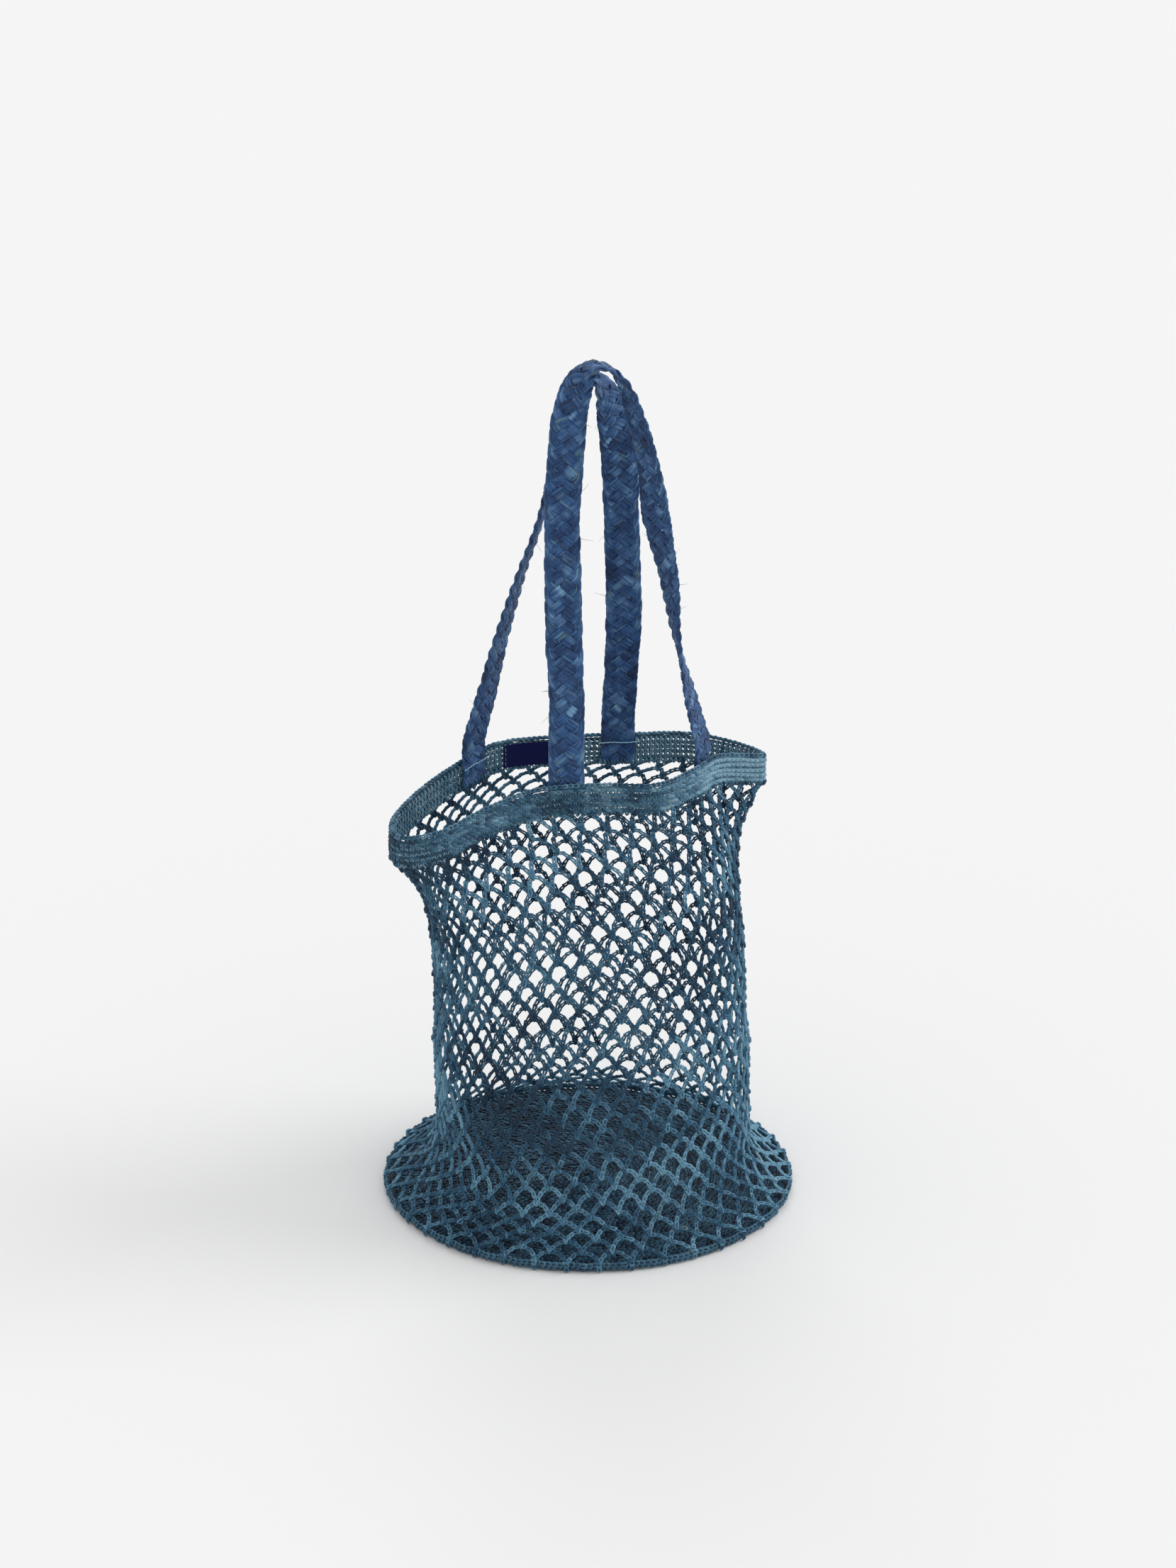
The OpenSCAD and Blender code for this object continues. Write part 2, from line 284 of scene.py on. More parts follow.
def lay_each(stitch, middle, run, across, out, **kind):
    """Lays one copy of a stitch at each of many places, its length along run."""
    ends = middle[:, None] + run[:, None] * np.array([-PITCH / 2, PITCH / 2])[None, :, None]
    return lay(stitch, ends, np.repeat(across[:, None], 2, 1), np.repeat(out[:, None], 2, 1), 1, **kind)


def join(parts):
    """Several laid parts as one."""
    verts, faces, grain, shade = zip(*parts)
    start = np.cumsum([0] + [len(v) for v in verts])
    faces = [f + n for f, n in zip(faces, start)]
    return tuple(np.concatenate(group) for group in (verts, faces, grain, shade))


def piece(name, parts, material):
    """A mesh object from laid parts, with its grain as UVs and a shade for each stitch."""
    verts, faces, grain, shade = join(parts)
    mesh = bpy.data.meshes.new(name)
    mesh.vertices.add(len(verts))
    mesh.vertices.foreach_set("co", verts.astype(np.float32).ravel())
    mesh.loops.add(faces.size)
    mesh.loops.foreach_set("vertex_index", faces.astype(np.int32).ravel())
    mesh.polygons.add(len(faces))
    mesh.polygons.foreach_set("loop_start", np.arange(0, faces.size, 4, dtype=np.int32))
    mesh.uv_layers.new(name="grain").data.foreach_set("uv", grain.astype(np.float32).ravel())
    mesh.attributes.new("shade", "FLOAT", "POINT").data.foreach_set("value", shade.astype(np.float32))
    mesh.update(calc_edges=True)
    mesh.validate()
    mesh.shade_smooth()
    mesh.materials.append(material)
    obj = bpy.data.objects.new(name, mesh)
    bpy.context.scene.collection.objects.link(obj)
    return obj


def frames(centre, out):
    """Across and out directions square to each track's run."""
    run = unit(np.gradient(centre, axis=1))
    across = unit(np.cross(out, run))
    return across, unit(np.cross(run, across))


def skin(rings, length, tones, turns=1):
    """A closed strand through rings of points, each an even number of points against the clock."""
    n, sides = rings.shape[:2]
    i, j = np.meshgrid(np.arange(n - 1), np.arange(sides), indexing="ij")
    corners = ((0, 0), (0, 1), (1, 1), (1, 0))
    faces = np.stack([(i + a) * sides + (j + b) % sides for a, b in corners], -1).reshape(-1, 4)
    grain = np.stack([np.stack([length[i + a] / (10 * MM), (j + b) / sides * turns], -1)
                      for a, b in corners], 2)
    fan = np.array([[0, k, k + 1, k + 2] for k in range(1, sides - 1, 2)])
    caps = np.concatenate([fan[:, ::-1], fan + (n - 1) * sides])
    grain = np.concatenate([grain.reshape(-1, 2), np.zeros((caps.size, 2))])
    return rings.reshape(-1, 3), np.concatenate([faces, caps]), grain, np.repeat(tones, sides)


def tube(path, radius, sides=4, shade=0.5):
    """A round strand along a path; radius is one number or one for each point."""
    run = unit(np.gradient(path, axis=0))
    nearly_up = UP + 0.01 * run[:, ::-1] + [0.02, 0.01, 0]   # so that an upright run has a side too
    side = unit(np.cross(run, nearly_up))
    rise = np.cross(run, side)
    angle = (np.arange(sides) * 2 * np.pi / sides)[None, :, None]
    ring = np.cos(angle) * side[:, None] + np.sin(angle) * rise[:, None]
    radius = np.broadcast_to(radius, len(path))[:, None, None]
    return skin(path[:, None] + ring * radius, lengths(path), np.full(len(path), shade))


# Materials

class Value:
    """An output socket. Sums, differences and products with it add Math nodes."""

    def __init__(self, shader, socket):
        self.shader = shader
        self.socket = socket

    def math(self, operation, first, second):
        return self.shader.node("ShaderNodeMath", {"operation": operation}, {0: first, 1: second})

    def __add__(self, other):
        return self.math("ADD", self, other)

    def __sub__(self, other):
        return self.math("SUBTRACT", self, other)

    def __mul__(self, other):
        return self.math("MULTIPLY", self, other)

    __radd__ = __add__
    __rmul__ = __mul__


class Shader:
    """A material and its nodes."""

    def __init__(self, name):
        self.material = bpy.data.materials.new(name)
        self.material.use_nodes = True
        self.tree = self.material.node_tree
        self.surface = self.tree.nodes["Principled BSDF"]

    def node(self, kind, settings=None, inputs=None, output=0):
        """Adds a node, sets its settings first and then its inputs, and returns an output."""
        made = self.tree.nodes.new(kind)
        for key, value in (settings or {}).items():
            setattr(made, key, value)
        for key, value in (inputs or {}).items():
            self.feed(made.inputs[key], value)
        return Value(self, made.outputs[output])

    def feed(self, socket, value):
        if isinstance(value, Value):
            self.tree.links.new(value.socket, socket)
        else:
            socket.default_value = value

    def set(self, **inputs):
        for key, value in inputs.items():
            self.feed(self.surface.inputs[key.replace("_", " ")], value)

    def vector(self, operation, first, second):
        return self.node("ShaderNodeVectorMath", {"operation": operation}, {0: first, 1: second})

    def noise(self, vector, scale, detail=2.0, rough=0.5):
        return self.node("ShaderNodeTexNoise", {}, {"Vector": vector, "Scale": scale,
                                                    "Detail": detail, "Roughness": rough})

    def ramp(self, value, low, high):
        """Value taken from 0 at low to 1 at high, smoothly."""
        return self.node("ShaderNodeMapRange", {"interpolation_type": "SMOOTHSTEP"},
                         {"Value": value, "From Min": low, "From Max": high})

    def blend(self, factor, first, second):
        return self.node("ShaderNodeMix", {"data_type": "RGBA"}, {0: factor, 6: first, 7: second}, 2)

    def bump(self, height, strength, distance):
        return self.node("ShaderNodeBump", {}, {"Height": height, "Strength": strength,
                                                "Distance": distance})


def raffia(name, dark, middle, light, fleck, grain, patch=26.0, worn=0.25, rough=0.72, height=0.25):
    """Dyed raffia: fibre grain along the strand, uneven dye, worn fibres and undyed flecks.
    Grain is the fibres' fineness along and across the strand, patch that of the dye's patches."""
    m = Shader(name)
    here = m.node("ShaderNodeTexCoord", {}, {}, "Object")
    shade = m.node("ShaderNodeAttribute", {"attribute_name": "shade"}, {}, "Fac")
    strand = m.node("ShaderNodeUVMap", {"uv_map": "grain"})
    fibres = m.noise(m.vector("MULTIPLY", strand, grain), 1.0, 3.0, 0.6)
    coarse = m.noise(m.vector("MULTIPLY", strand, (grain[0] * 0.6, grain[1] * 0.4, 1)), 1.0, 1.0)
    dye = m.noise(here, patch, 3.0, 0.6)
    streaks = m.noise(m.vector("MULTIPLY", strand, (grain[0] * 1.3, grain[1] * 0.9, 1)), 1.0, 1.0)
    depth = m.ramp(fibres * 0.7 + dye * 0.4 + shade * 0.4, 0.52, 0.94)
    tint = m.blend(depth, dark, middle)
    paler = m.ramp(coarse * 0.5 + dye * 0.35 + shade * 0.5, 0.62, 0.98)
    tint = m.blend(paler * (2.4 * worn), tint, light)
    flecks = m.ramp(streaks * 0.7 + dye * 0.3, 0.61, 0.68)
    tint = m.blend(flecks * 0.8, tint, fleck)
    m.set(Base_Color=tint, Roughness=rough + fibres * 0.25 - 0.1,
          Normal=m.bump(fibres * 0.7 + coarse * 0.5, 0.9, height * MM),
          Specular_IOR_Level=0.35, Sheen_Weight=0.12, Sheen_Roughness=0.4)
    return m.material


def colour(red, green, blue):
    """A colour given as it looks on a screen, 0 to 255, as the light values that shaders take."""
    values = [c / 255 for c in (red, green, blue)]
    linear = [c / 12.92 if c <= 0.04045 else ((c + 0.055) / 1.055) ** 2.4 for c in values]
    return (*linear, 1.0)


def woven_cloth(name, base):
    """Tightly woven label cloth, with a painted highlight: its threads are a little lighter where they
    stand up.
    """
    m = Shader(name)
    weave = m.node("ShaderNodeUVMap", {"uv_map": "grain"})
    ribs = m.node("ShaderNodeTexWave", {"bands_direction": "Y", "wave_profile": "SIN"},
                  {"Vector": weave, "Scale": 14.0, "Distortion": 0.4, "Detail": 1.0})
    cross = m.node("ShaderNodeTexWave", {"bands_direction": "X", "wave_profile": "SIN"},
                   {"Vector": weave, "Scale": 9.0, "Distortion": 0.4, "Detail": 1.0})
    threads = ribs * cross
    # Painted highlight: a lighter colour on the threads where they stand highest.
    thread_highlight = tuple(min(1, c * 1.5) for c in base[:3]) + (1,)
    m.set(Base_Color=m.blend(threads, base, thread_highlight),
          Roughness=0.7 + threads * 0.15, Normal=m.bump(threads, 0.35, 0.1 * MM),
          Specular_IOR_Level=0.2)
    return m.material


FIBRE = (1.2, 9.0, 1.0)          # the grain of thin yarn
STRIP_FIBRE = (0.5, 9.0, 1.0)    # and of flat strips
net_yarn = raffia("net yarn", colour(6, 38, 62), colour(46, 100, 132), colour(124, 170, 192),
                  colour(108, 116, 88), FIBRE, worn=0.28, height=0.4)
band_yarn = raffia("band yarn", colour(8, 42, 66), colour(60, 112, 142), colour(156, 192, 206),
                   colour(122, 128, 90), FIBRE, patch=34)
base_yarn = raffia("base yarn", colour(4, 26, 46), colour(34, 80, 108), colour(92, 136, 156),
                   colour(88, 96, 74), FIBRE, worn=0.16)
braid_raffia = raffia("braid raffia", colour(6, 32, 68), colour(42, 88, 142), colour(124, 164, 194),
                      colour(100, 124, 100), STRIP_FIBRE, patch=95, worn=0.3, rough=0.6, height=0.7)
label_cloth = woven_cloth("label cloth", colour(3, 11, 62))
sewing_thread = raffia("sewing thread", colour(96, 140, 168), colour(140, 178, 198), colour(176, 204, 214),
                       colour(150, 180, 190), FIBRE, rough=0.6, height=0.05)


# The net

chain_loop = loop_stitch("chain loop", 6.4 * MM, 1.1 * MM, 0.88 * MM, narrow=0.75, tilt=math.radians(8))
foot_chain = loop_stitch("foot chain loop", 6.4 * MM, 1.3 * MM, 0.8 * MM, narrow=0.7, tilt=math.radians(10))
wrap_loop = loop_stitch("wrap loop", 5.6 * MM, 1.35 * MM, 0.82 * MM)


def arch_height(u):
    """Height of an arch, in rounds, at a share u along it."""
    left = 1 - np.clip((LEAN - u) / LEAN, 0, 1) ** ARCH_POWER
    right = 1 - np.clip((u - LEAN) / (1 - LEAN), 0, 1) ** ARCH_POWER
    return np.where(u < LEAN, left, right)


def uneven(rows, columns, far):
    """Random values round a mean of nought, part of them shared with neighbours up to far away."""
    near = rng.normal(0, 1, (rows, columns))
    wide = rng.normal(0, 1, (rows, columns))
    for _ in range(far):
        wide = (wide + np.roll(wide, 1, 0) + np.roll(wide, 1, 1) + np.roll(wide, -1, 1)) / 4
    return 0.6 * near + wide / wide.std() * 0.8


def stray_knots():
    """How far each knot strays: round the bag in arches, up in rounds, and outwards."""
    drift = np.stack([uneven(ROUNDS + 1, ARCHES, 4) * size for size in (0.035, 0.055, 0.7 * MM)], -1)
    drift[[0, -1], :, 1:] = 0
    return drift


def tone_arches():
    """How pale each arch is: paler low down, but not where the skirt has slumped, and uneven from arch to
    arch.
    """
    row, arch = np.meshgrid(np.arange(ROUNDS + 1), np.arange(ARCHES), indexing="ij")
    from_slump = ((arch + row * LEAN) / ARCHES + NET_START - SLUMP_AT + 0.5) % 1 - 0.5
    paler = 0.06 + 0.26 * (1 - np.exp(-(from_slump / 0.09) ** 2))
    low_down = 1 - ease((row - 9) / 9)
    return np.clip(0.42 + paler * low_down + 0.16 * uneven(ROUNDS + 1, ARCHES, 5), 0, 1)


knot_drift = stray_knots()
arch_tones = tone_arches()


def net_place(row, arch, u):
    """Share round, share up and outward offset of a point of the net."""
    h = arch_height(u)
    first = knot_drift[row, arch % ARCHES]
    top = knot_drift[row + 1, arch % ARCHES]
    last = knot_drift[row, (arch + 1) % ARCHES]
    drift = top * h[..., None] + (1 - h)[..., None] * np.where((u < LEAN)[..., None], first, last)
    s = NET_START + (arch + row * LEAN + u + drift[..., 0]) / ARCHES
    level = row + h + drift[..., 1]
    slump = np.exp(-(((s % 1) - SLUMP_AT) / SLUMP_WIDTH) ** 2) * SLUMP
    level = level - slump * (ease(level / SLUMP_TOP) - ease((level - SLUMP_TOP) / SLUMP_FADE))
    k = np.interp(level, np.arange(ROUNDS + 1), LEVELS)
    return s, k, drift[..., 2] + HOOK_LIFT * (1 - h)


def net_points(row, arch, u):
    """Points of the net, and its outward direction at each."""
    s, k, lift = net_place(row, arch, u)
    out = wall_out(s, k)
    return wall(s, k) + out * lift[..., None], out


def arch_tracks(rows):
    """Stations of each arch of some rounds, at equal lengths along it."""
    fine = np.linspace(0, 1, 41)
    row, arch = (a.reshape(-1, 1) for a in np.meshgrid(rows, np.arange(ARCHES), indexing="ij"))
    points, _ = net_points(*np.broadcast_arrays(row, arch, fine))
    even = np.linspace(0, 1, 3 * CHAIN + 1)
    u = np.stack([np.interp(even * one[-1], one, fine) for one in map(lengths, points)])
    centre, out = net_points(*np.broadcast_arrays(row, arch, u))
    across, out = frames(centre, out)
    return centre, across, out


def knots(rows):
    """Two wraps of yarn at each knot of some rows. Row 0 is at the base's edge, and each row above
    it is at the tops of a round's arches."""
    row, arch = (a.ravel() for a in np.meshgrid(rows, np.arange(ARCHES), indexing="ij"))
    below = np.maximum(row - 1, 0)
    u = np.where(row > 0, LEAN, 0.0)
    middle, out = net_points(below, arch, u)
    before, _ = net_points(below, arch, u - 0.03)
    after, _ = net_points(below, arch, u + 0.03)
    run = unit(after - before)
    rise = unit(np.cross(out, run))
    parts = []
    for side in (-1, 1):
        slant = unit(rise + 0.35 * side * run)
        beside = middle + run * side * 0.85 * MM + out * 0.2 * MM
        parts.append(lay_each(wrap_loop, beside, slant, out, run, wobble=0.15 * MM,
                              tones=arch_tones[row, arch].reshape(-1, 1)))
    return parts


# The way that yarn takes over the base's edge: millimetres in from its side, millimetres up, and
# how far the yarn faces up
EDGE_WRAP = [[4.5, 8.0, 0.9], [1.2, 6.4, 0.5], [0.4, 4.0, 0.0], [1.1, 1.9, -0.4]]


def edge_feet():
    """The ends of the first arches, wrapped over the base's edge."""
    s = NET_START + (np.arange(ARCHES) + knot_drift[0, :, 0]) / ARCHES
    out = level_way(2 * np.pi * s + math.radians(BASE_TURN))[:, None]
    reach, height, tip = np.array(EDGE_WRAP).T[:, None, :, None]
    centre = out * (BASE_R - reach * MM) + UP * height * MM
    across, side = frames(centre, unit(out + UP * tip))
    return lay(foot_chain, centre, across, side, 2, pitch=3.6 * MM, tones=0.6)


def build_net():
    """The skirt and the wall, between the base and the band."""
    for n, (low, high) in enumerate(zip(NET_SPLITS, NET_SPLITS[1:])):
        name = "skirt_chains" if n == 0 else f"wall_chains_{n}"
        rows = np.arange(low, high)
        centre, across, out = arch_tracks(rows)
        tones = arch_tones[low:high].reshape(-1, 1)
        parts = [lay(chain_loop, centre, across, out, CHAIN, wobble=0.12 * MM, tones=tones)]
        parts += knots(np.arange(low if n == 0 else low + 1, high + 1))
        if n == 0:
            parts.append(edge_feet())
        net = piece(name, parts, net_yarn)
        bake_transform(net)
        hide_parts("net_skirt" if n == 0 else "net_wall")


# The band

BAND_ROWS = 5
BAND_STITCHES = 176          # stitches in a row
EDGE_CHAIN_H = 3 * MM        # height of the chain-like last round
ROW_PROUD = 0.75 * MM        # a row's loops outwards from the band's middle
LEG_DEPTH = 1.1 * MM         # the stitches' legs inwards from those loops
band_loop = loop_stitch("band loop", 6.0 * MM, 0.62 * MM, 0.9 * MM, narrow=0.8,
                        tilt=math.radians(14), slant=math.radians(16), segments=8)
post_loop = loop_stitch("post loop", 6.0 * MM, 1.0 * MM, 0.68 * MM, segments=8)
edge_loop = loop_stitch("edge loop", 6.8 * MM, 1.15 * MM, 0.95 * MM, narrow=0.6, tilt=math.radians(14))


def rim_track(count, height, offset, stations=3):
    """Stations round the mouth, at a height and outward offset from the band's top edge, their
    outward directions and their shares of the way round."""
    s = np.linspace(0, 1, 2001)
    length = lengths(rim(s))
    even = np.interp(np.linspace(0, length[-1], count * stations + 1), length, s)
    out = rim_out(even)
    return rim(even)[None] + (out * offset + UP * height)[None], out[None], even


def build_band():
    """Rows of loops, coloured palest at the mouth's right tip as painted light where the light falls on the
    band, with two slanting legs of each stitch in the groove under them; and the chain-like last round on
    top."""
    step = (BAND_H - EDGE_CHAIN_H) / BAND_ROWS
    # Painted light: the band's loops are made paler towards the mouth's right tip, which faces the light.
    right_tip = np.cos(2 * np.pi * (np.linspace(0, 1, BAND_STITCHES) + 0.04)) ** 5
    painted_tip_light = 0.5 + 0.45 * right_tip
    parts = []
    for row in range(BAND_ROWS):
        height = -BAND_H + (row + 0.5) * step
        centre, out, even = rim_track(BAND_STITCHES, height, ROW_PROUD)
        centre = centre + out * rng.normal(0, 0.1 * MM, centre.shape[1])[None, :, None]
        centre[0, :, 2] += 0.35 * MM * np.sin(even * 40 + row * 2)
        across, side = frames(centre, out)
        parts.append(lay(band_loop, centre, across, side, BAND_STITCHES, wobble=0.14 * MM,
                         tones=np.clip(painted_tip_light + 0.1 * uneven(1, BAND_STITCHES, 12), 0, 1)))
        for first, lean in ((1, 0.5), (2, -0.3)):
            here = slice(first, None, 3)
            run = rim_run(even[here])
            middle = centre[0, here] - UP * step * 0.45 - out[0, here] * LEG_DEPTH
            parts.append(lay_each(post_loop, middle, unit(UP + lean * run), out[0, here], run, tones=0.75))
    band = piece("band_stitches", parts, band_yarn)
    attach(band, "rim")
    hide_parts("rim_band")

    centre, out, _ = rim_track(BAND_STITCHES, -1.9 * MM, 0.0)
    across, side = frames(centre, unit(out + UP * 0.9))
    loops = lay(edge_loop, centre, across, side, BAND_STITCHES)
    edge = piece("band_edge_stitches", [loops], band_yarn)
    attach(edge, "rim")
    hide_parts("rim_edge_round")


# The base

BASE_ROUND = 4.0 * MM        # width of a round of the base
BASE_STITCH = 4.1 * MM       # length of its stitches
BASE_MIDDLE = 2.4 * MM       # height of their middles
BASE_SPLIT = 25              # rounds in the inner of the base's two pieces
EDGE_ROUNDS = [[147.0 * MM, 2.7 * MM], [147.6 * MM, 5.0 * MM]]   # radius and height of each
base_loop = loop_stitch("base loop", 7.0 * MM, 1.15 * MM, 0.95 * MM, narrow=0.5, tilt=math.radians(16),
                        segments=8)
rope_loop = loop_stitch("edge rope loop", 7.4 * MM, 1.3 * MM, 1.0 * MM, narrow=0.6, tilt=math.radians(14))


def base_rounds(first, last):
    """Rounds of stitches, worked outwards on the flat."""
    parts = []
    for n in range(first, last):
        r = (n + 0.5) * BASE_ROUND
        count = max(5, round(2 * math.pi * r / BASE_STITCH))
        a = np.linspace(0, 2 * np.pi, count * 3 + 1) + n * 0.7
        wavy = r + 0.35 * MM * np.sin(a * 5 + n)
        way = level_way(a)
        centre = (way * wavy[:, None] + UP * BASE_MIDDLE)[None]
        across, side = frames(centre, unit(UP + 0.25 * way)[None])
        parts.append(lay(base_loop, centre, across, side, count, pitch=BASE_STITCH, wobble=0.25 * MM,
                         tones=0.2 + 0.6 * rng.random((1, count))))
    return parts


def build_backing():
    """The closed inside of the base's fabric, under its loops."""
    bpy.ops.object.select_all(action="DESELECT")
    bpy.ops.mesh.primitive_cylinder_add(vertices=96, radius=BASE_R - 4 * MM, depth=1.6 * MM,
                                        location=(0, 0, 1.5 * MM), end_fill_type="TRIFAN")
    bpy.ops.object.transform_apply(location=True, rotation=False, scale=False)
    disc = bpy.context.object
    disc.name = "base_backing"
    disc.data.uv_layers[0].name = "grain"
    disc.data.materials.append(base_yarn)
    return disc


def build_base():
    """Flat rounds of stitches on their backing, and the two turned-up rounds at the edge."""
    rounds = round((BASE_R - EDGE_W) / BASE_ROUND)
    inner = piece("base_rounds_inner", base_rounds(0, BASE_SPLIT), base_yarn)
    outer = piece("base_rounds_outer", base_rounds(BASE_SPLIT, rounds), base_yarn)
    for part in (inner, outer, build_backing()):
        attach(part, "base")
        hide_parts("base_disc")
    parts = []
    for n, (r, z) in enumerate(EDGE_ROUNDS):
        count = round(2 * math.pi * r / BASE_STITCH)
        a = np.linspace(0, 2 * np.pi, count * 3 + 1) + n
        wavy = r + 0.7 * MM * np.sin(a * ARCHES) + 0.5 * MM * np.sin(a * 7)
        way = level_way(a)
        centre = (way * wavy[:, None] + UP * z)[None]
        across, side = frames(centre, unit(way + UP * 0.5 * n)[None])
        parts.append(lay(rope_loop, centre, across, side, count, pitch=BASE_STITCH, wobble=0.15 * MM,
                         tones=0.75))
    edge = piece("base_edge_stitches", parts, base_yarn)
    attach(edge, "base")
    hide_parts("base_edge_round")


# The straps

STRANDS = 5                   # strands in a braid
BRAID_TURN = 49 * MM          # length in which a strand goes to the far edge and back
STRAND_HALF = 3.9 * MM        # half a strand's width
STRAND_T = 1.45 * MM          # thickness of a strand
EDGE_HOLD = 0.76              # share of its way across at which a strand starts to turn
TURN_ROUND = 0.4 * math.pi    # how gently it turns
BRAID_LIFT = 1.2 * MM         # how far a strand rises over the one it crosses
STATION = 1.4                 # millimetres between a strand's rings
FOOT_DROP = -22.5 * MM        # a strap's foot from the band's top edge
HAIRS = 18                    # stray fibres on a handle
HAIR_L = 9 * MM               # length of the longest


def strap_root(at):
    """Where a strap's line passes the band's top edge."""
    at = np.array(at)
    return rim(at) + rim_out(at) * STRAP_MID


def fold(at):
    """Where a strap folds over as its handle swings."""
    return strap_root(at) + FOLD_RISE * UP


def sewn_points(at):
    """A strap's line from its foot inside the band up to its fold, and the band's direction there."""
    run = rim_run(np.array(at))
    points = [strap_root(at) + UP * h for h in (FOOT_DROP, -11 * MM, 0, FOLD_RISE)]
    return points, math.degrees(math.atan2(run[1], run[0]))


def near_turn(turn, other):
    """The turn, or the same line the other way, that lies closest to another turn."""
    return turn + 180 * round((other - turn) / 180)


def strap_line(left, right, route):
    """Stations each millimetre along a strap: centre, width direction and face direction."""
    start, start_turn = sewn_points(left)
    end, end_turn = sewn_points(right)
    middle = (fold(left) + fold(right)) / 2
    spread = np.linalg.norm(fold(right) - fold(left))
    points = [middle + [x * spread, y * MM, z * HANDLE_H] for x, y, z, _ in route]
    turns = [t for *_, t in route]
    points = np.array(start + points + end[::-1])
    turns = np.array([near_turn(start_turn, turns[0])] * 4 + turns + [near_turn(end_turn, turns[-1])] * 4)
    f = np.linspace(0, len(points) - 1, 2000)
    length = lengths(spline(points, f))
    f = np.interp(np.arange(0, length[-1], 1 * MM), length, f)
    line = spline(points, f)
    turn = np.radians(np.interp(f, np.arange(len(turns)), turns))
    turn = np.convolve(np.pad(turn, 7, mode="edge"), np.ones(15) / 15, mode="valid")
    run = unit(np.gradient(line, axis=0))
    level = level_way(turn)
    width = unit(level - run * np.sum(level * run, -1, keepdims=True))
    return line, width, np.cross(run, width)


def strand_path(n, t):
    """Sideways place and lift of strand n of a flat braid at lengths t, as shares."""
    phase = (t / BRAID_TURN + n / STRANDS) % 1
    ramp = 1 - 4 * np.abs(phase - 0.5)
    held = np.clip(ramp / EDGE_HOLD, -1, 1)
    side = np.sin(held * TURN_ROUND) / math.sin(TURN_ROUND)
    lift = np.cos(np.pi * STRANDS * (1 - 2 * phase)) * np.where(phase < 0.5, 1, -1)
    return side, lift * (1 - np.abs(ramp) ** 8)


def strip_outline(sway):
    """A strand's section for each station: strips of raffia side by side, with creases between."""
    top = np.array([[1.0, 0.0], [0.88, 0.44], [0.62, 0.6], [0.37, 0.2], [0.12, 0.64], [-0.14, 0.6],
                    [-0.38, 0.18], [-0.62, 0.58], [-0.88, 0.46]])
    section = np.concatenate([top, -top])
    shifted = np.repeat(section[None], len(sway), 0)
    shifted[..., 0] += sway[:, None] * (1 - section[None, :, 0] ** 2) * 0.16
    return shifted


def along_strap(values, t):
    """Values of a strap's stations at lengths t."""
    places = np.arange(len(values)) * MM
    return np.stack([np.interp(t, places, values[:, c]) for c in range(3)], -1)


def uneven_run(t, step, size):
    """Random values that change smoothly along lengths t."""
    count = max(4, int(t[-1] / step))
    return np.interp(t, np.linspace(0, t[-1], count), rng.normal(0, size, count))


def braid(line, width, face):
    """Strands of a flat braid along a strap."""
    t = np.arange(0, len(line) - 1, STATION) * MM
    parts = []
    for n in range(STRANDS):
        side, lift = strand_path(n, t)
        half = STRAND_HALF * (1 - 0.25 * np.abs(side) ** 6) * (1 + uneven_run(t, 12 * MM, 0.05))
        reach = (STRAP_W / 2 + 0.2 * MM - STRAND_HALF * 0.75) * side + uneven_run(t, 20 * MM, 0.3 * MM)
        centre = (along_strap(line, t) + along_strap(width, t) * reach[:, None]
                  + along_strap(face, t) * (lift * BRAID_LIFT)[:, None])
        run = unit(np.gradient(centre, axis=0))
        across = unit(np.cross(along_strap(face, t), run))
        normal = unit(np.cross(run, across))
        outline = strip_outline(uneven_run(t, 9 * MM, 1.0))
        rings = (centre[:, None] + across[:, None] * outline[..., :1] * half[:, None, None]
                 + normal[:, None] * outline[..., 1:] * STRAND_T)
        tones = 0.45 + uneven_run(t, 6 * MM, 0.1)
        tones += 0.5 * (uneven_run(t, 6 * MM, 1.0) > 2.0)
        parts.append(skin(rings, t + n, np.clip(tones, 0, 1), turns=2))
    return parts


def hairs(points, outs, count, length):
    """Stray fibre ends that stick out of a surface."""
    parts = []
    for i in rng.integers(0, len(points), count):
        way = unit(outs[i] + rng.normal(0, 0.7, 3))
        bend = unit(rng.normal(0, 1, 3))
        reach = length * rng.uniform(0.4, 1.0)
        u = np.linspace(0, 1, 6)[:, None]
        path = points[i] + way * u * reach + bend * (u**2) * reach * 0.5
        parts.append(tube(path, 0.16 * MM * (1 - 0.7 * u[:, 0]), shade=0.4))
    return parts


def build_handle(name, left, right, route, ends):
    """A handle's whole braid, foot to foot, through its folds."""
    line, width, face = strap_line(left, right, route)
    parts = braid(line, width, face)
    free = slice(40, -40)
    way = width[free] * np.where(rng.random(len(line[free])) < 0.5, -1, 1)[:, None]
    parts += hairs(line[free] + way * (STRAP_W / 2 - 1 * MM), way, HAIRS, HAIR_L)
    strap = piece(f"{name}_braid", parts, braid_raffia)
    folds = (fold(left) + fold(right)) / 2
    folds[2] - 12 * MM
    folds[2] + 26 * MM
    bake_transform(strap)
    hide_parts(name, *[f"{e}_strap_end" for e in ends])


# Sewing

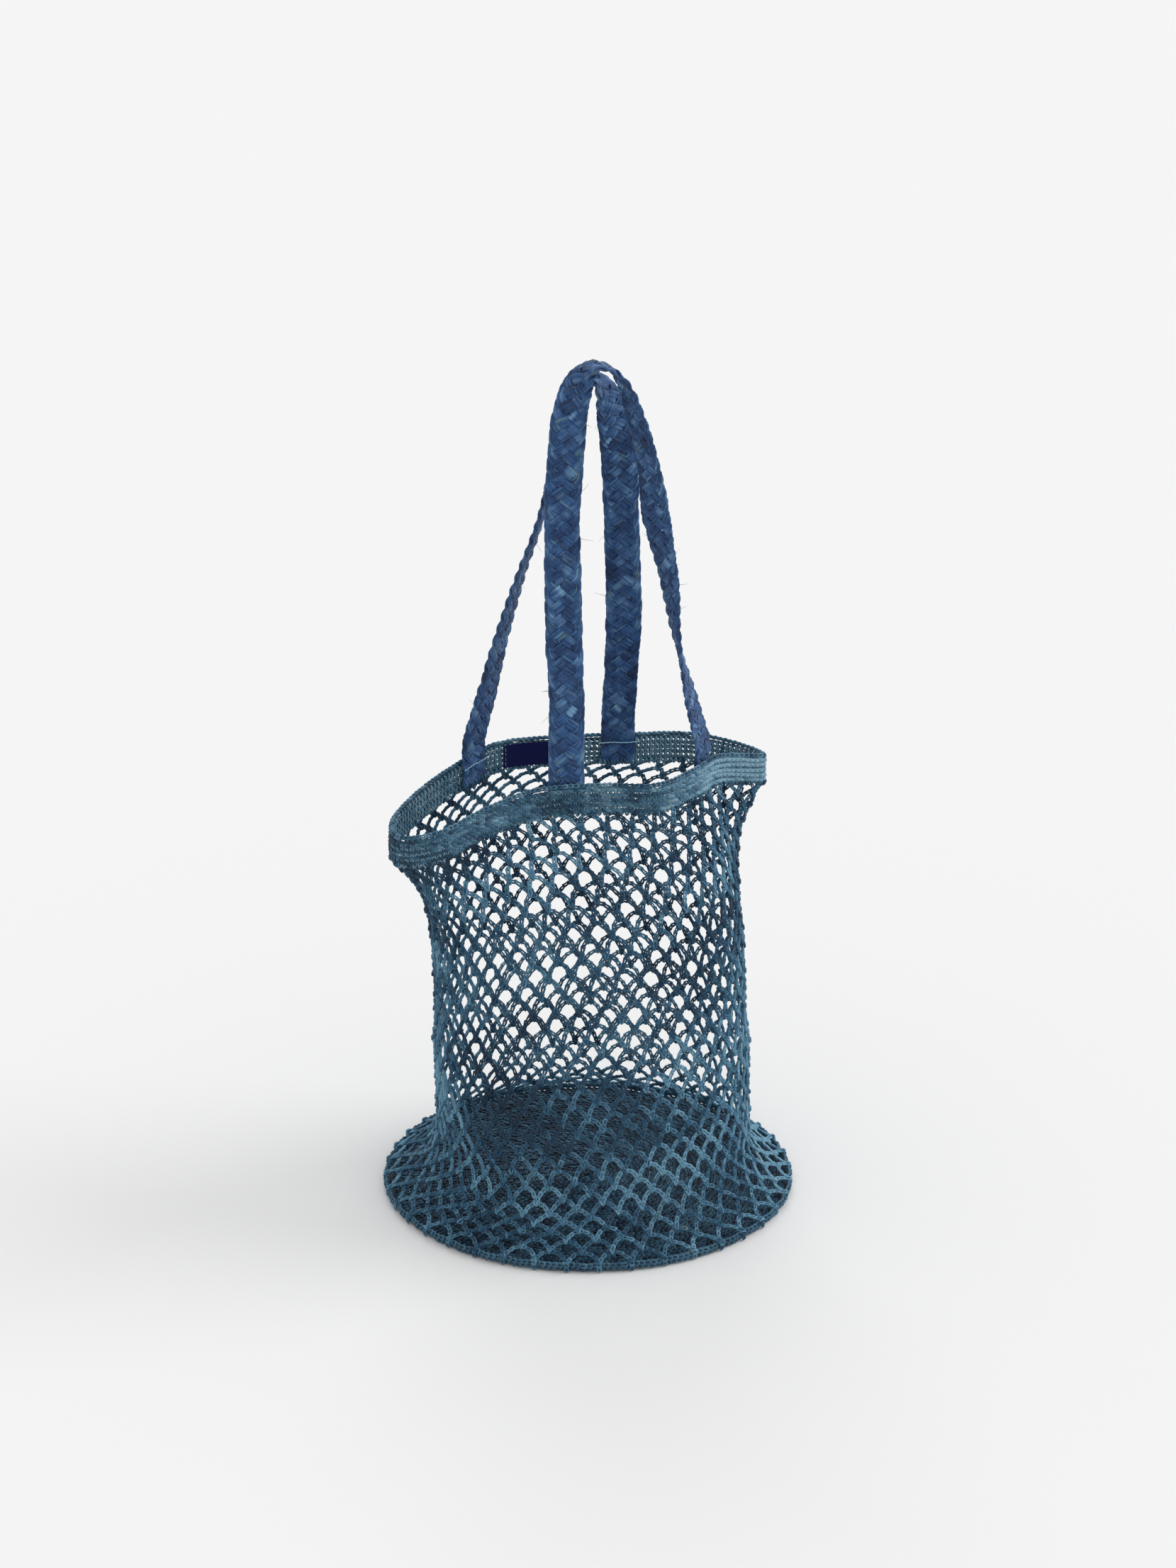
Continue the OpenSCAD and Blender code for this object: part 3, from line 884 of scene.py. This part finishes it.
SEAM_X = STRAP_W / 2 + 2 * MM    # half the length of the line of thread over a strap
SEAM_WAVES = 4.5                 # stitches in that half
SEAM_H = -5.5 * MM               # its height, from the band's top edge
SEAM_IN = -6.9 * MM              # its place outwards, from the band's middle
WRAPS = 11                       # turns of yarn over a strap's foot
WRAP_H = -20.6 * MM              # their height, from the band's top edge
LABEL_L, LABEL_H, LABEL_T = 36 * MM, 17 * MM, 0.7 * MM
LABEL_MID = -12.5 * MM           # height of the label's middle, from the band's top edge
LABEL_IN = -2.9 * MM             # its place outwards, from the band's middle
LABEL_SEAM = 14 * MM             # length of each line of thread that holds it
LABEL_WAVES = 4                  # stitches in each line

foot_loop = loop_stitch("foot loop", 6.0 * MM, 2.1 * MM, 0.75 * MM)


def band_face(at, x, offset, height):
    """A point on the band's inside: x along it from a place, offset outwards and below its top edge."""
    scale = np.linalg.norm((rim(np.array(at + 0.001)) - rim(np.array(at - 0.001))) / 0.002)
    s = at + x / scale
    return rim(s) + rim_out(s) * np.asarray(offset)[..., None] + UP * np.asarray(height)[..., None]


def build_sewing(at, name):
    """A strap end's line of thread, and the yarn whipped over its foot."""
    x = np.linspace(-SEAM_X, SEAM_X, 90)
    depth = SEAM_IN + 0.35 * MM * np.cos(x / SEAM_X * SEAM_WAVES * 2 * np.pi)
    height = SEAM_H + 0.25 * MM * np.sin(x * 300)
    thread = tube(band_face(at, x, depth, height), 0.42 * MM, 6)
    line = piece(f"{name}_thread", [thread], sewing_thread)
    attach(line, "rim")
    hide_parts(f"{name}_stitch")

    x = np.linspace(-STRAP_W / 2, STRAP_W / 2, WRAPS) + rng.normal(0, 0.25 * MM, WRAPS)
    middle = band_face(at, x, 0 * x + STRAP_MID, 0 * x + WRAP_H)
    run = rim_run(at + 0 * x)
    turns = lay_each(foot_loop, middle, unit(UP + 0.25 * run), rim_out(at + 0 * x), run, wobble=0.2 * MM)
    bound = piece(f"{name}_whipping", [turns], net_yarn)
    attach(bound, "rim")
    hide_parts(f"{name}_binding")


def build_label():
    """The plain woven label, and the thread down each end of it."""
    bpy.ops.object.select_all(action="DESELECT")
    bpy.ops.mesh.primitive_grid_add(x_subdivisions=36, y_subdivisions=16, size=1)
    label = bpy.context.object
    label.name = "woven_label"
    mesh = label.data
    flat = np.array([v.co for v in mesh.vertices])
    wave = 0.3 * MM * np.sin(flat[:, 0] * 9) * np.cos(flat[:, 1] * 3)
    co = band_face(LABEL_AT, flat[:, 0] * LABEL_L, LABEL_IN + wave, flat[:, 1] * LABEL_H + LABEL_MID)
    mesh.vertices.foreach_set("co", co.astype(np.float32).ravel())
    uv = mesh.uv_layers[0]
    uv.name = "grain"
    for loop, data in zip(mesh.loops, uv.data):
        data.uv = flat[loop.vertex_index, :2] * [LABEL_L / (10 * MM), LABEL_H / (10 * MM)]
    mesh.materials.append(label_cloth)
    bpy.ops.object.modifier_add(type="SOLIDIFY")
    solid = label.modifiers[-1]
    solid.thickness = LABEL_T
    solid.offset = 0
    bpy.ops.object.modifier_apply(modifier=solid.name)
    bpy.ops.object.shade_smooth_by_angle(angle=math.radians(50))
    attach(label, "rim")
    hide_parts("label")
    parts = []
    for side in (-1, 1):
        y = np.linspace(-LABEL_SEAM / 2, LABEL_SEAM / 2, 40)
        x = side * (LABEL_L / 2 - 1.6 * MM) + 0 * y
        depth = LABEL_IN - 0.5 * MM + 0.3 * MM * np.cos(y / LABEL_SEAM * LABEL_WAVES * 2 * np.pi)
        parts.append(tube(band_face(LABEL_AT, x, depth, y + LABEL_MID), 0.25 * MM))
    sewn = piece("label_threads", parts, sewing_thread)
    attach(sewn, "rim")
    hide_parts("label_stitches")


# The stage

# Soft suns: where each comes from, its power, and its spread in degrees
SUNS = {"key": ((1.0, -0.25, 0.75), 1.45, 40), "back light": ((0.3, 1.0, 0.8), 0.7, 30)}
FLOOR_GAIN = 1.04          # makes up for the light that the bag keeps off the floor
LENS = 79.75               # millimetres, for a 36 mm sensor
LOOK_AT = (0, 0, 0.308)    # the middle of the bag's height, nearly
LOOK_DOWN = 20.24          # degrees
LOOK_ROUND = -24           # degrees from straight in front, to the left
DISTANCE = 2.45            # metres from there


def build_stage():
    """A pale room, the suns, and a floor of the same brightness as the room where they light it."""
    world = bpy.data.worlds.new("studio")
    bpy.context.scene.world = world
    world.use_nodes = True
    background = world.node_tree.nodes["Background"]
    pale = colour(241, 241, 241)
    background.inputs["Color"].default_value = pale

    lit = pale[0]
    for name, (source, power, spread) in SUNS.items():
        light = bpy.data.lights.new(name, "SUN")
        light.energy = power
        light.angle = math.radians(spread)
        lamp = bpy.data.objects.new(name, light)
        lamp.rotation_mode = "QUATERNION"
        lamp.rotation_quaternion = Vector(source).to_track_quat("Z", "Y")
        bpy.context.scene.collection.objects.link(lamp)
        lit += power / math.pi * Vector(source).normalized().z

    bpy.ops.object.select_all(action="DESELECT")
    bpy.ops.mesh.primitive_plane_add(size=60)
    floor = bpy.context.object
    floor.name = "floor"
    paper = Shader("paper")
    share = FLOOR_GAIN * pale[0] / lit
    paper.set(Base_Color=(share, share, share, 1), Roughness=1.0, Specular_IOR_Level=0.0)
    floor.data.materials.append(paper.material)


def build_camera():
    """Looks down at the bag from the front left, with a long lens."""
    data = bpy.data.cameras.new("camera")
    data.sensor_width = 36
    data.lens = LENS
    data.clip_end = 100
    camera = bpy.data.objects.new("camera", data)
    pitch, turn = math.radians(LOOK_DOWN), math.radians(LOOK_ROUND)
    back = Vector((math.sin(turn) * math.cos(pitch), -math.cos(turn) * math.cos(pitch), math.sin(pitch)))
    camera.location = Vector(LOOK_AT) + back * DISTANCE
    camera.rotation_mode = "QUATERNION"
    camera.rotation_quaternion = back.to_track_quat("Z", "Y")
    bpy.context.scene.collection.objects.link(camera)
    bpy.context.scene.camera = camera


bpy.context.scene.view_settings.view_transform = "Standard"
build_camera()
build_stage()
build_net()
build_band()
build_base()
build_handle("front_handle", FRONT_LEFT, FRONT_RIGHT, FRONT_ROUTE, ("front_left", "front_right"))
build_handle("back_handle", BACK_LEFT, BACK_RIGHT, BACK_ROUTE, ("back_left", "back_right"))
for place, end in ((FRONT_LEFT, "front_left"), (FRONT_RIGHT, "front_right"),
                   (BACK_LEFT, "back_left"), (BACK_RIGHT, "back_right")):
    build_sewing(place, end)
build_label()
